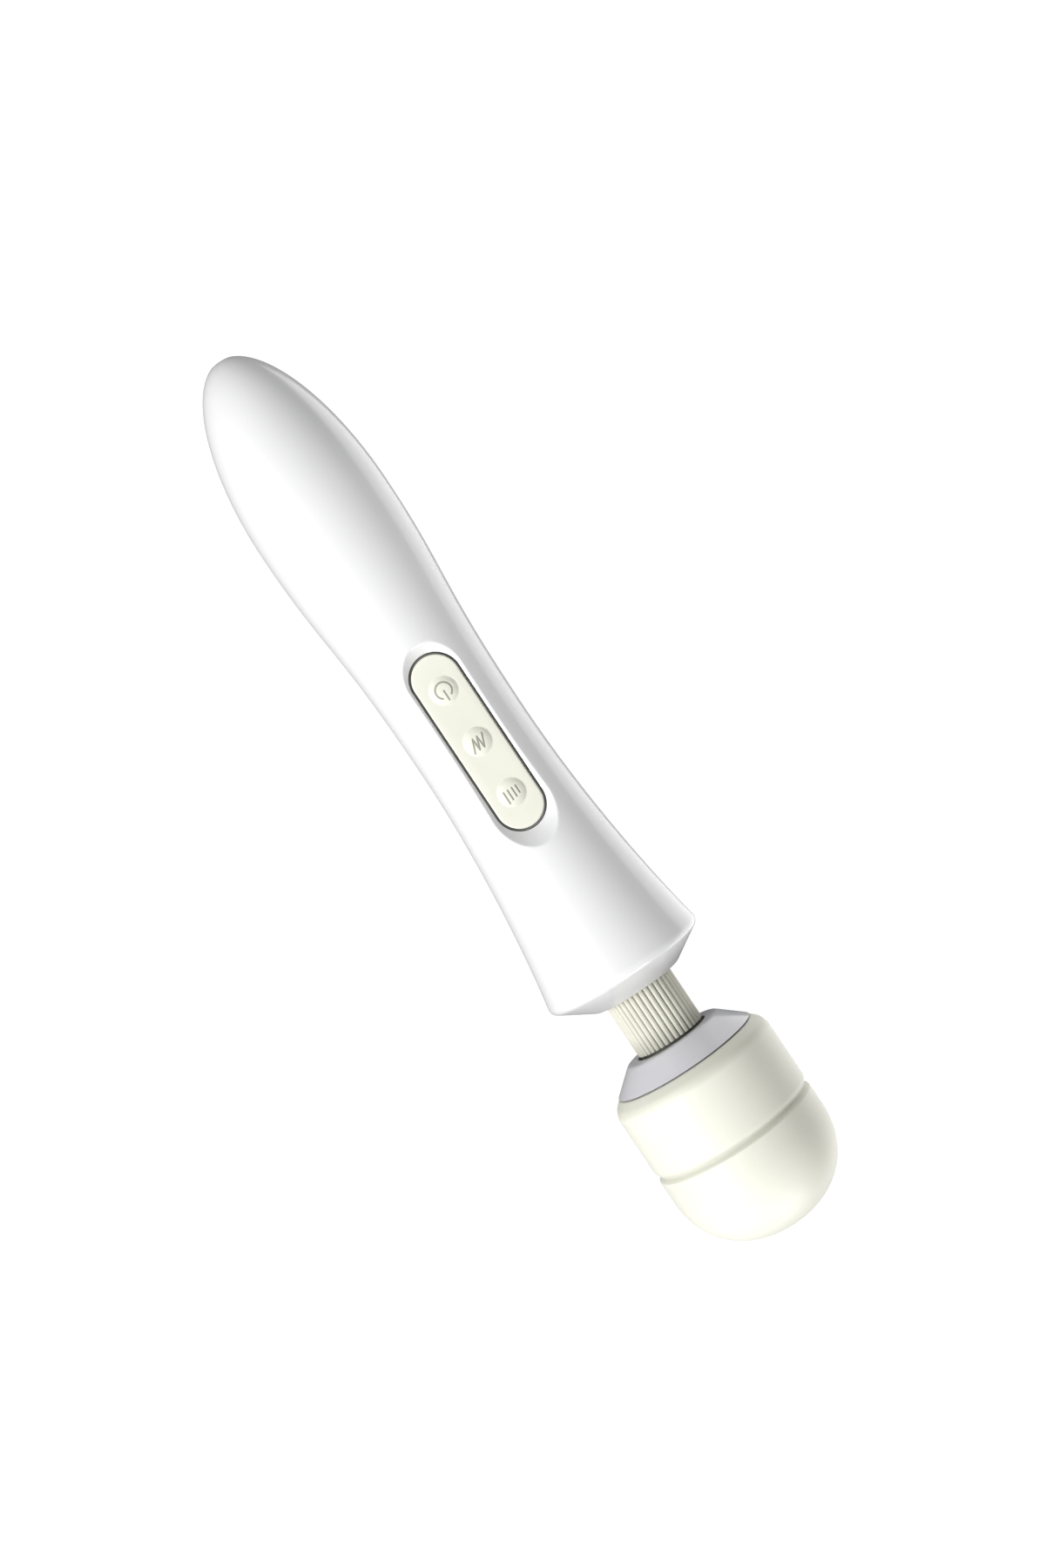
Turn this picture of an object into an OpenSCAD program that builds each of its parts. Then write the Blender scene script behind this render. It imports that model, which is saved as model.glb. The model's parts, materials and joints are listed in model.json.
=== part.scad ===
// Cordless wand massager, lying down with its keypad up.
// The wand's axis runs along X with the head at +X, and the keypad faces +Z.
// The origin is under the middle of the wand's length, on the surface that the head rests on.
// "From the tail" means the distance along the axis from the tail's end face.

/* [Handle] */
// Length of the handle, from the tail's end face to the tip of its nose
handle_length = 251.2; // [250:0.1:254]
// Radius of the flat end face of the tail
tail_face_radius = 4.8; // [4.6:0.1:5.2]
// Distance from the tail to the thickest place of the grip
bulge_from_tail = 62; // [61:0.5:66]
// Radius of the grip at its thickest place
bulge_radius = 24.75; // [24.5:0.05:26]
// Distance from the tail to the waist of the grip
waist_from_tail = 151.7; // [150:0.1:153]
// Radius of the waist
waist_radius = 20.7; // [20.5:0.05:21.2]
// Largest radius of the handle, at the lip behind the nose
lip_radius = 29.2; // [28.8:0.1:29.6]
// Rounding radius of the lip
lip_rounding = 3; // [2.6:0.1:3.2]
// Radius of the tip of the nose, where the neck comes out
nose_tip_radius = 16.4; // [16.2:0.1:16.6]
// Wall thickness of the handle shells
shell_wall = 2.2; // [2:0.1:2.3]

/* [Keypad] */
// Distance from the tail to the middle of the keypad
keypad_from_tail = 153.6; // [153:0.1:154.5]
// Length of the silicone pad
pad_length = 65.4; // [64.2:0.1:66.2]
// Width of the silicone pad
pad_width = 16.3; // [15.8:0.1:16.8]
// Gap between the pad and the shell
pad_gap = 0.9; // [0.7:0.05:0.95]
// Height of the pad's face over the wand's axis
pad_face_height = 17.65; // [17.6:0.05:17.7]
// Distance between neighbouring buttons
button_pitch = 20; // [19:0.5:20.5]
// Diameter of a button
button_diameter = 9.6; // [9:0.1:10]
// How far a button's domed face rises over the pad
button_crown = 1.1; // [0.8:0.1:1.3]
// How far a button travels
button_travel = 0.5; // [0.3:0.05:0.5]

/* [Neck] */
// Visible length of the flexible neck
neck_length = 20.8; // [20:0.1:24]
// Outer radius of the neck sleeve
neck_radius = 12.6; // [12.4:0.1:12.8]
// Turns of the steel coil in the neck
spring_turns = 5; // [4:1:6]

/* [Head] */
// Length of the head, from the collar's face to the tip of its dome
head_length = 73.6; // [73:0.1:76]
// Largest radius of the silicone head
head_radius = 30; // [29.5:0.1:30.5]
// Radius of the collar's small edge, beside the neck
collar_small_radius = 17.5; // [17.4:0.1:18.5]
// Radius of the collar's large edge, beside the silicone
collar_large_radius = 26.3; // [26:0.1:26.6]
// Length of the collar's cone
collar_length = 7.5; // [7:0.1:8]
// Length of the domed end of the head
dome_length = 27.8; // [27:0.1:29]
// Width of the groove around the head
groove_width = 2.7; // [2:0.1:3.2]
// Depth of the groove around the head
groove_depth = 1.2; // [0.8:0.1:1.5]

/* [Hidden] */
$fn = 96;

// Overall sizes and the places along the axis, all measured from the tail
wand_length = handle_length + neck_length + head_length;
axis_height = head_radius;
collar_face = handle_length + neck_length;
collar_back = collar_face + collar_length;
neck_middle = (handle_length + collar_face) / 2;

// Small clearances
seam = 0.1;          // between the two shells
contact = 0.1;       // between pieces that are assembled into each other
far = 400;           // larger than the whole wand, for cutting tools

// Handle outline
tail_start_angle = asin(tail_face_radius / bulge_radius);
tail_semi_axis = bulge_from_tail / cos(tail_start_angle);
nose_slope = 1.63;   // radius lost for each mm along the nose cone
nose_normal = atan(1 / nose_slope);
nose_start = handle_length - 7;
lip_centre_u = nose_start - lip_rounding * cos(nose_normal);
lip_centre_r = lip_radius - lip_rounding;
lip_lead_angle = 12; // how steeply the flare runs into the lip

// Flats underneath that the wand lies on without rolling, in one plane under the lip and the bulge
rest_tilt = atan((lip_radius - bulge_radius) / (lip_centre_u - bulge_from_tail));
rest_depth = 0.2;

// Neck seat in the nose
nose_bore_radius = neck_radius + 0.7;
cavity_end = handle_length - 10.2;
flange_radius = 16.9;
flange_start = handle_length - 6.5;
flange_thickness = 3.2;

// Keypad heights over the axis
pocket_floor_height = pad_face_height - 0.25;
pocket_cut_height = 8;
pocket_slope_tail = 0.8;
pocket_slope_head = 1.2;
surround_wall = 1.2; // of the shell around the pocket
surround_run = 4;    // from the opening's edge
opening_length = pad_length + 2 * pad_gap;
opening_width = pad_width + 2 * pad_gap;
pad_thickness = 2.7;
frame_top = pad_face_height - pad_thickness;
frame_thickness = 2;
board_top = 9;
board_thickness = 1.6;
switch_height = 3.5;
switch_top = board_top + switch_height;
stem_top = switch_top + 0.8;
button_clearance = 0.25;
button_radius = button_diameter / 2;
stem_radius = 1.75;
stem_depth = 0.9;    // of the switch stem in its housing

// Board footprint
board_start = 112;
board_end = 199;
board_width = 26;
board_boss_u = [116, 194];
board_boss_y = 9;
board_boss_radius = 2.6;
board_screw_radius = 1;

// Screws between the shells: distance from the tail, and side
shell_screw_places = [[27, 0], [106.5, -12], [106.5, 12], [226, -14], [226, 14]];
tower_radius = 4.4;
boss_radius = 3.4;
screw_shank_radius = 1.3;
screw_head_radius = 2.4;
screw_head_height = 1.8;
screw_seat = -9;
screw_end = 8;

// Charging jack
socket_radius = 3.5; // for the plug's moulded nose
bezel_length = 4.2;
jack_start = bezel_length + contact;
jack_end = 16;
jack_radius = 4.9;
jack_bore_radius = 2.85;
jack_board_radius = 12;

// Battery
cell_radius = 9.2;
cell_length = 65;
cell_start = 35;
cell_y = 9.35;
cell_z = -3;

// Wires
wire_radius = 0.8;
cable_radius = 2;
wire_z = board_top + wire_radius + 0.05;

// Neck parts
sleeve_wall = 2.4;
spring_radius = 8;
spring_wire_radius = 1;
hub_stub_radius = 6.4;
cable_hole_radius = 4.4;
sleeve_start = flange_start + flange_thickness + contact;
hub_start = collar_face + 3.2;
sleeve_end = hub_start - contact;
hub_thickness = 2.8;

// Head parts
cap_start = collar_back + 0.4;
cap_round_length = 4.8;
cap_inner_radius = 25.2;
housing_radius = cap_inner_radius - contact;
housing_inner_radius = housing_radius - 2;
dome_start = wand_length - dome_length;
dome_power = 2.2;    // 2 is an ellipse, and more is blunter
groove_middle = collar_face + 36.8;
spigot_radius = housing_inner_radius - contact;
spigot_end = cap_start + 5;

// Motor
can_start = collar_face + 14;
can_end = collar_face + 50;
can_radius = 17.5;
can_wall = 0.8;
end_cap_start = can_start - 3.5;
magnet_radius = can_radius - can_wall - 0.05;
magnet_inner_radius = 13.2;
core_radius = 12.6;
shaft_radius = 1.6;
bearing_bore_radius = 1.62;
bearing_radius = 3.2;
commutator_radius = 4;
weight_start = can_end + 2.2;
weight_length = 9;
weight_radius = 13;

// ---------------------------------------------------------------- outlines

function bezier(p0, p1, p2, p3, t) =
    pow(1 - t, 3) * p0 + 3 * pow(1 - t, 2) * t * p1 + 3 * (1 - t) * t * t * p2 + pow(t, 3) * p3;

// Outline of the grip as [radius, from the tail], inset inwards, from the tail to the lip
function grip_outline(inset, steps = 18) = concat(
    [for (i = [0:steps])
        let (angle = tail_start_angle + (90 - tail_start_angle) * i / steps)
        [(bulge_radius - inset) * sin(angle),
         bulge_from_tail - (tail_semi_axis - inset) * cos(angle)]],
    [for (i = [1:steps])
        bezier([bulge_radius - inset, bulge_from_tail],
               [bulge_radius - inset, bulge_from_tail + 37],
               [waist_radius - inset, waist_from_tail - 52],
               [waist_radius - inset, waist_from_tail], i / steps)],
    [for (i = [1:steps])
        bezier([waist_radius - inset, waist_from_tail],
               [waist_radius - inset, waist_from_tail + 48],
               lip_lead_point(inset),
               lip_lead_point(inset), i / steps)]
);

// Where the flare meets the rounding of the lip
function lip_lead_point(inset) =
    [lip_centre_r + (lip_rounding - inset) * cos(lip_lead_angle),
     lip_centre_u - (lip_rounding - inset) * sin(lip_lead_angle)];

// The rounding of the lip, from the flare to the nose cone
lip_outline = [for (i = [1:8])
    let (angle = -lip_lead_angle + (lip_lead_angle + 90 - nose_normal) * i / 8)
    [lip_centre_r + lip_rounding * cos(angle), lip_centre_u + lip_rounding * sin(angle)]];

// The domed end of the head, or one of the domes inside it, from its widest place to its tip
function dome_outline(radius, steps = 20) = [for (i = [0:steps])
    let (angle = 90 * i / steps, length = dome_length - head_radius + radius)
    [radius * pow(cos(angle), 2 / dome_power),
     dome_start + length * pow(sin(angle), 2 / dome_power)]];

function reversed(list) = [for (i = [len(list) - 1:-1:0]) list[i]];

// ---------------------------------------------------------------- shared shapes

// Places children at a distance from the tail, and at y and z from the wand's axis
module place(u, y = 0, z = 0) {
    translate([u - wand_length / 2, y, axis_height + z]) children();
}

// Turns a [radius, from the tail] outline around the wand's axis
module turned(outline) {
    place(0) rotate([0, 90, 0]) rotate_extrude() polygon(outline);
}

// A ring around the wand's axis
module ring(start, end, outer_radius, inner_radius) {
    place(start) rotate([0, 90, 0]) difference() {
        cylinder(h = end - start, r = outer_radius);
        translate([0, 0, -1]) cylinder(h = end - start + 2, r = inner_radius);
    }
}

// A solid disc around the wand's axis, or beside it
module disc(start, end, radius, y = 0, z = 0) {
    place(start, y, z) rotate([0, 90, 0]) cylinder(h = end - start, r = radius);
}

// A plate with fully rounded ends, its underside at z
module pill(length, width, thickness) {
    linear_extrude(thickness) {
        for (side = [-1, 1]) translate([side * (length - width) / 2, 0]) circle(d = width);
        square([length - width, width], center = true);
    }
}

// A block between two distances from the tail, centred on y
module block(start, end, width, low, high, y = 0) {
    place(start, y - width / 2, low) cube([end - start, width, high - low]);
}

// A round wire through a list of [from the tail, y, z] points
module wire(points, radius) {
    for (i = [0:len(points) - 2]) {
        run = points[i + 1] - points[i];
        place(points[i][0], points[i][1], points[i][2])
            rotate([0, acos(run[2] / norm(run)), atan2(run[1], run[0])])
                cylinder(h = norm(run), r = radius, $fn = 24);
    }
    if (len(points) > 2)
        for (i = [1:len(points) - 2])
            place(points[i][0], points[i][1], points[i][2]) sphere(r = radius, $fn = 24);
}

// ---------------------------------------------------------------- handle

module handle_solid() {
    turned(concat([[0, 0]], grip_outline(0), lip_outline,
                  [[nose_tip_radius, handle_length], [0, handle_length]]));
}

module handle_cavity() {
    inner = grip_outline(shell_wall);
    turned(concat([[0, inner[0][1]]], [for (p = inner) if (p[1] < cavity_end - 3) p],
                  [[lip_radius - 5, cavity_end], [0, cavity_end]]));
}

// The two shells before the screws, the keypad and the split
module shell_blank() {
    difference() {
        handle_solid();
        handle_cavity();
        disc(-1, bezel_length, tail_face_radius - 0.6);
        disc(cavity_end - 1, handle_length + 1, nose_bore_radius);
        disc(flange_start - contact, flange_start + flange_thickness + contact, flange_radius + contact);
    }
}

module front_half() {
    translate([-far / 2, -far / 2, axis_height + seam / 2]) cube(far);
}

module rear_half() {
    translate([-far / 2, -far / 2, axis_height - seam / 2 - far]) cube(far);
}

// A rib around the inside of the handle that the jack's board rests against
module board_rib(start) {
    ring(start, start + 1.1, bulge_radius, jack_board_radius - 1);
}

// The sunk place for the keypad: a sloped pocket down to an upright opening
module keypad_cut() {
    rise = pocket_cut_height;
    half_run = (opening_length - opening_width) / 2;
    mouth = opening_width / 2;
    place(keypad_from_tail, 0, pocket_floor_height) hull() {
        translate([-half_run, 0, 0])
            cylinder(h = rise, r1 = mouth, r2 = mouth + pocket_slope_tail * rise, $fn = 64);
        translate([half_run, 0, 0])
            cylinder(h = rise, r1 = mouth, r2 = mouth + pocket_slope_head * rise, $fn = 64);
    }
    place(keypad_from_tail, 0, frame_top - frame_thickness)
        pill(opening_length, opening_width, pad_thickness + frame_thickness + 1);
}

// The wall that closes the pocket's two ends, where it is deeper than the shell is thick
module keypad_surround() {
    half_run = (opening_length - opening_width) / 2;
    place(keypad_from_tail, 0, pocket_floor_height - surround_wall) hull()
        for (side = [-1, 1]) translate([side * half_run, 0, 0])
            cylinder(h = far, r = opening_width / 2 + surround_run, $fn = 64);
}

module front_shell() {
    color("white") difference() {
        union() {
            intersection() {
                shell_blank();
                front_half();
            }
            intersection() {
                handle_solid();
                front_half();
                union() {
                    board_rib(jack_end - 1.2);
                    keypad_surround();
                    for (p = shell_screw_places)
                        place(p[0], p[1], 0) cylinder(h = 40, r = boss_radius);
                    for (u = board_boss_u, side = [-1, 1])
                        place(u, side * board_boss_y, board_top) cylinder(h = 30, r = board_boss_radius);
                }
            }
        }
        keypad_cut();
        for (p = shell_screw_places)
            place(p[0], p[1], -1) cylinder(h = screw_end + 2, r = screw_shank_radius);
        for (u = board_boss_u, side = [-1, 1])
            place(u, side * board_boss_y, board_top - 1) cylinder(h = 5.2, r = board_screw_radius);
    }
}

// Everything under the plane of the rest flats
module under_rest_flats() {
    place(lip_centre_u, 0, rest_depth - lip_radius) rotate([0, rest_tilt, 0])
        translate([-far / 2, -far / 2, -far]) cube(far);
}

module rear_shell() {
    color("white") difference() {
        union() {
            intersection() {
                shell_blank();
                rear_half();
            }
            intersection() {
                handle_solid();
                rear_half();
                union() {
                    board_rib(jack_end - 1.2);
                    board_rib(jack_end + board_thickness + contact);
                    for (p = shell_screw_places)
                        place(p[0], p[1], -40) cylinder(h = 40, r = tower_radius);
                }
            }
        }
        for (p = shell_screw_places) {
            place(p[0], p[1], -45) cylinder(h = 45 + screw_seat, r = screw_head_radius + 0.4);
            place(p[0], p[1], -20) cylinder(h = 21, r = screw_shank_radius + contact);
        }
        under_rest_flats();
    }
}

// A cross-slot machine screw, its head's underside at z = 0 and its shank upwards
module screw(shank_radius, shank_length, head_radius, head_height) {
    cylinder(h = shank_length, r = shank_radius, $fn = 32);
    difference() {
        translate([0, 0, -head_height]) cylinder(h = head_height, r = head_radius, $fn = 32);
        for (turn = [0, 90]) rotate([0, 0, turn])
            translate([-head_radius * 0.6, -head_radius * 0.1, -head_height - 1])
                cube([head_radius * 1.2, head_radius * 0.2, 1 + head_height * 0.6]);
    }
}

module shell_screws() {
    color("silver") for (p = shell_screw_places)
        place(p[0], p[1], screw_seat)
            screw(screw_shank_radius, screw_end - screw_seat, screw_head_radius, screw_head_height);
}

// ---------------------------------------------------------------- charging and battery

module socket_bezel() {
    color("gainsboro") difference() {
        union() {
            disc(0, bezel_length - 1, tail_face_radius - 0.6 - 0.05);
            disc(bezel_length - 1.4, bezel_length, tail_face_radius + 0.3);
        }
        disc(-1, bezel_length + 1, socket_radius);
    }
}

module charge_jack() {
    color("dimgray") difference() {
        disc(jack_start, jack_end, jack_radius);
        disc(jack_start - 1, jack_end - 2.5, jack_bore_radius);
        disc(jack_end - 4, jack_end - 1, 1);
    }
}

module jack_pin() {
    color("gold") disc(jack_start + 2.2, jack_end - 1, 1);
}

module jack_board() {
    color("seagreen") disc(jack_end, jack_end + board_thickness, jack_board_radius);
}

module jack_leads() {
    color("firebrick") for (side = [-1, 1])
        disc(jack_end + board_thickness, board_start + 2, wire_radius, side * 5, wire_z);
}

module battery_cells() {
    color("steelblue") for (side = [-1, 1]) {
        disc(cell_start, cell_start + cell_length, cell_radius, side * cell_y, cell_z);
        disc(cell_start + cell_length, cell_start + cell_length + 0.9, 3, side * cell_y, cell_z);
    }
}

module battery_straps() {
    color("silver") {
        block(cell_start - 0.35, cell_start - 0.05, 2 * cell_y + 6, cell_z - 3, cell_z + 3);
        for (side = [-1, 1])
            block(cell_start + cell_length + 0.95, cell_start + cell_length + 1.25, 8,
                  cell_z - 3, cell_z + 6, side * (cell_y - 3));
    }
}

module battery_tray() {
    inner = grip_outline(shell_wall + contact);
    color("dimgray") intersection() {
        difference() {
            block(cell_start + 2, cell_start + cell_length - 3, 30, -17, -6);
            for (side = [-1, 1])
                disc(cell_start, cell_start + cell_length, cell_radius + contact, side * cell_y, cell_z);
        }
        turned(concat([[0, inner[0][1]]], [for (p = inner) if (p[1] < waist_from_tail) p],
                      [[0, waist_from_tail]]));
    }
}

module battery_foam() {
    color("gray") block(cell_start + 8, cell_start + cell_length - 8, 26,
                        cell_z + cell_radius + 0.05, wire_z - wire_radius - 0.3);
}

module battery_leads() {
    color("black") for (side = [-1, 1])
        wire([[cell_start + cell_length + 1.3, side * 3, cell_z + 4],
              [cell_start + cell_length + 3, side * 3, cell_z + 4],
              [board_start - 1.5, side * 3, wire_z],
              [board_start + 3, side * 3, wire_z]], wire_radius);
}

// ---------------------------------------------------------------- electronics

module main_board() {
    color("seagreen") difference() {
        block(board_start, board_end, board_width, board_top - board_thickness, board_top);
        for (u = board_boss_u, side = [-1, 1])
            place(u, side * board_boss_y, board_top - 3)
                cylinder(h = 4, r = board_screw_radius + contact);
    }
}

module board_screws() {
    color("silver") for (u = board_boss_u, side = [-1, 1])
        place(u, side * board_boss_y, board_top - board_thickness)
            screw(board_screw_radius, board_thickness + 4, 1.9, 1.2);
}

module controller_chip() {
    under = board_top - board_thickness;
    color("black") union() {
        block(148, 155, 7, under - 1.4, under - 0.2);
        for (i = [0:6], side = [-1, 1])
            place(148.3 + i * 0.98, side * 4.1 - 0.7, under - 0.8) cube([0.4, 1.4, 0.8]);
    }
}

module motor_driver() {
    under = board_top - board_thickness;
    color("black") for (u = [172, 180])
        block(u, u + 5, 6, under - 1.6, under);
}

module capacitors() {
    under = board_top - board_thickness;
    color("slategray") for (side = [-1, 1])
        place(131, side * 5, under - 8) cylinder(h = 8, r = 3.1);
}

module cable_header() {
    color("ivory") block(board_end - 7, board_end - 1, 8, board_top, board_top + 4.4);
}

module tact_switches() {
    color("black") for (i = [-1, 0, 1])
        difference() {
            place(keypad_from_tail + i * button_pitch - 3, -3, board_top) cube([6, 6, switch_height]);
            place(keypad_from_tail + i * button_pitch, 0, switch_top - stem_depth - button_travel - 0.2)
                cylinder(h = 2, r = stem_radius + 0.05);
        }
}

module switch_stem(i) {
    color("gray") place(keypad_from_tail + i * button_pitch, 0, switch_top - stem_depth)
        cylinder(h = stem_top - switch_top + stem_depth, r = stem_radius);
}

// ---------------------------------------------------------------- keypad

module keypad_pad() {
    color("ivory") difference() {
        place(keypad_from_tail, 0, frame_top) pill(pad_length, pad_width, pad_thickness);
        for (i = [-1, 0, 1])
            place(keypad_from_tail + i * button_pitch, 0, frame_top - 1)
                cylinder(h = pad_thickness + 2, r = button_radius + button_clearance);
    }
}

module keypad_frame() {
    leg_u = 24.5; // of the legs, from the middle of the keypad
    color("dimgray") difference() {
        union() {
            place(keypad_from_tail, 0, frame_top - frame_thickness)
                pill(opening_length - 0.2, opening_width - 0.2, frame_thickness);
            for (end = [-1, 1], side = [-1, 1])
                place(keypad_from_tail + end * leg_u, side * 6.5, board_top)
                    cylinder(h = frame_top - frame_thickness - board_top + 0.5, r = 1.5);
        }
        for (i = [-1, 0, 1])
            place(keypad_from_tail + i * button_pitch, 0, frame_top - frame_thickness - 1)
                cylinder(h = frame_thickness + 2, r = button_radius + button_clearance);
    }
}

// A key with a domed face, standing on its switch stem
module button(i) {
    top = pad_face_height + button_crown;
    crown_radius = (pow(button_radius, 2) + pow(button_crown, 2)) / (2 * button_crown);
    color("ivory") place(keypad_from_tail + i * button_pitch) intersection() {
        translate([0, 0, stem_top]) cylinder(h = top - stem_top, r = button_radius);
        translate([0, 0, top - crown_radius]) sphere(r = crown_radius);
    }
}

// ---------------------------------------------------------------- neck

module neck_base() {
    color("dimgray") difference() {
        union() {
            disc(flange_start, flange_start + flange_thickness, flange_radius);
            disc(flange_start, handle_length, hub_stub_radius);
        }
        disc(flange_start - 1, handle_length + 1, cable_hole_radius);
    }
}

module handle_cable() {
    color("dimgray") wire([[board_end - 1, 0, board_top + 2.4], [board_end + 12, 0, board_top + 2.4],
                           [flange_start - 10, 0, 0], [flange_start - 0.5, 0, 0]], cable_radius);
}

module neck_sleeve() {
    color("ivory") ring(sleeve_start, sleeve_end, neck_radius, neck_radius - sleeve_wall);
}

// A coil made of rings of points, each square to the wire's radius
module neck_spring() {
    sides = 8;
    rings_per_turn = 16;
    count = spring_turns * rings_per_turn;
    start = sleeve_start + spring_wire_radius + contact;
    rise = sleeve_end - spring_wire_radius - contact - start;
    points = [for (i = [0:count], k = [0:sides - 1])
        let (angle = 360 * i / rings_per_turn, around = 360 * k / sides,
             radius = spring_radius + spring_wire_radius * cos(around))
        [start + rise * i / count + spring_wire_radius * sin(around),
         radius * cos(angle), radius * sin(angle)]];
    walls = [for (i = [0:count - 1], k = [0:sides - 1])
        let (next = (k + 1) % sides)
        [i * sides + k, i * sides + next, (i + 1) * sides + next, (i + 1) * sides + k]];
    ends = [[for (k = [sides - 1:-1:0]) k], [for (k = [0:sides - 1]) count * sides + k]];
    color("silver") place(0) polyhedron(points, concat(walls, ends));
}

module cable_guide() {
    color("white") ring(neck_middle - 3, neck_middle + 3, spring_radius - spring_wire_radius - 0.4,
                        cable_radius + 0.05);
}

module neck_cable() {
    color("dimgray") disc(flange_start, end_cap_start - 4.5, cable_radius);
}

// ---------------------------------------------------------------- head

module head_collar() {
    color("white") difference() {
        turned([
            [nose_bore_radius, collar_face],
            [collar_small_radius, collar_face],
            [collar_large_radius, collar_back],
            [spigot_radius, collar_back],
            [spigot_radius, spigot_end],
            [spigot_radius - 2, spigot_end],
            [spigot_radius - 2, collar_back + 1],
            [flange_radius + contact, hub_start + 2],
            [flange_radius + contact, hub_start],
            [nose_bore_radius, hub_start]
        ]);
        hub_screw_places() translate([0, 0, -2.2]) cylinder(h = 3, r = 1, $fn = 32);
        housing_screw_places() cylinder(h = 40, r = 1, $fn = 32);
    }
}

module neck_hub() {
    color("dimgray") difference() {
        union() {
            disc(hub_start, hub_start + hub_thickness, flange_radius);
            disc(collar_face, hub_start + hub_thickness, hub_stub_radius);
        }
        disc(collar_face - 1, hub_start + hub_thickness + 1, cable_hole_radius);
        hub_screw_places() cylinder(h = 20, r = 1, center = true, $fn = 32);
    }
}

// Puts children at the three hub screws, their +Z along the wand's axis
module hub_screw_places() {
    for (turn = [90, 210, 330])
        place(hub_start, 14.9 * cos(turn), 14.9 * sin(turn)) rotate([0, 90, 0]) children();
}

module hub_screws() {
    color("silver") hub_screw_places()
        translate([0, 0, hub_thickness]) mirror([0, 0, 1])
            screw(1, hub_thickness + 2, 1.8, 1.2);
}

module head_housing() {
    color("gainsboro") difference() {
        turned(concat(
            [[housing_inner_radius, cap_start], [housing_radius, cap_start]],
            dome_outline(housing_radius),
            reversed(dome_outline(housing_inner_radius))
        ));
        housing_screw_places() {
            cylinder(h = 40, r = 1, $fn = 32);
            translate([0, 0, housing_radius - 0.9]) cylinder(h = 5, r = 2, $fn = 32);
        }
    }
}

// Puts children at the three housing screws, their +Z pointing outwards
module housing_screw_places() {
    for (turn = [0, 120, 240])
        place(cap_start + 2.5) rotate([turn, 0, 0]) children();
}

module housing_screws() {
    color("silver") housing_screw_places()
        translate([0, 0, housing_radius - 0.9]) mirror([0, 0, 1])
            screw(1, 2.8, 1.9, 0.8);
}

module head_cap() {
    round_steps = 8;
    first_angle = 30;
    cap_edge_radius = collar_large_radius + 0.1;
    half_groove = groove_width / 2;
    groove_floor = head_radius - groove_depth;
    color("ivory") turned(concat(
        [[cap_inner_radius, cap_start]],
        [for (i = [0:round_steps])
            let (angle = first_angle + (90 - first_angle) * i / round_steps)
            [head_radius - (head_radius - cap_edge_radius) * (1 - sin(angle)) / (1 - sin(first_angle)),
             cap_start + cap_round_length * (1 - cos(angle) / cos(first_angle))]],
        [[head_radius, groove_middle - half_groove],
         [groove_floor, groove_middle - half_groove + 0.4],
         [groove_floor, groove_middle + half_groove - 0.4],
         [head_radius, groove_middle + half_groove]],
        dome_outline(head_radius),
        reversed(dome_outline(cap_inner_radius))
    ));
}

// ---------------------------------------------------------------- motor

module motor_can() {
    color("silver") union() {
        ring(can_start, can_end - can_wall / 2, can_radius, can_radius - can_wall);
        ring(can_end - can_wall, can_end, can_radius, bearing_radius);
    }
}

module motor_end_cap() {
    color("ivory") difference() {
        union() {
            disc(end_cap_start, can_start, can_radius);
            disc(can_start - 1, can_start + 6, can_radius - can_wall - 0.05);
        }
        disc(can_start + 0.5, can_start + 7, can_radius - can_wall - 1.8);
        disc(end_cap_start - 1, can_start + 2, bearing_radius);
        for (side = [-1, 1])
            block(end_cap_start - 1, can_start + 1, 3.1, -0.45, 0.45, side * 10);
    }
}

module motor_terminals() {
    color("gold") for (side = [-1, 1])
        block(end_cap_start - 3, can_start + 0.4, 3, -0.4, 0.4, side * 10);
}

module motor_brushes() {
    color("dimgray") for (side = [-1, 1])
        block(can_start + 2, can_start + 5, can_radius - can_wall - 2 - commutator_radius, -1.5, 1.5,
              side * (commutator_radius + 0.1 + (can_radius - can_wall - 2 - commutator_radius) / 2));
}

module motor_magnets() {
    color("slategray") difference() {
        ring(can_start + 8, can_end - 4, magnet_radius, magnet_inner_radius);
        block(can_start, can_end, 50, -4.5, 4.5);
    }
}

module front_bearing() {
    color("goldenrod") ring(can_end - 3, can_end + 1, bearing_radius, bearing_bore_radius);
}

module rear_bearing() {
    color("goldenrod") ring(end_cap_start, can_start + 0.4, bearing_radius, bearing_bore_radius);
}

module motor_mounts() {
    color("dimgray") for (start = [can_start + 2, can_end - 9])
        ring(start, start + 5, housing_inner_radius, can_radius);
}

module motor_shaft() {
    color("silver") disc(end_cap_start + 0.3, weight_start + weight_length + 1, shaft_radius);
}

module armature() {
    color("dimgray") difference() {
        ring(can_start + 10, can_end - 6, core_radius, shaft_radius);
        for (i = [0:4])
            place(can_start + 9) rotate([i * 72, 0, 0]) translate([0, -0.9, 4])
                cube([can_end - can_start - 13, 1.8, 10]);
        for (i = [0:4])
            place(can_start + 9) rotate([i * 72, 0, 0]) translate([0, 0, 8.2]) rotate([0, 90, 0])
                cylinder(h = can_end - can_start - 13, r = 2.4, $fn = 32);
    }
}

module windings() {
    color("chocolate") for (start = [can_start + 6.9, can_end - 5.9])
        ring(start, start + 2.7, 11, shaft_radius);
}

module commutator() {
    color("peru") ring(can_start + 1.4, can_start + 6.5, commutator_radius, shaft_radius);
}

module eccentric_weight() {
    color("silver") difference() {
        union() {
            intersection() {
                disc(weight_start, weight_start + weight_length, weight_radius);
                place(weight_start, -20, -30) cube([weight_length, 40, 30]);
            }
            disc(weight_start, weight_start + weight_length, 4.5);
        }
        disc(weight_start - 1, weight_start + weight_length + 1, shaft_radius);
        place(weight_start + weight_length / 2) cylinder(h = 10, r = 1, $fn = 32);
    }
}

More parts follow.
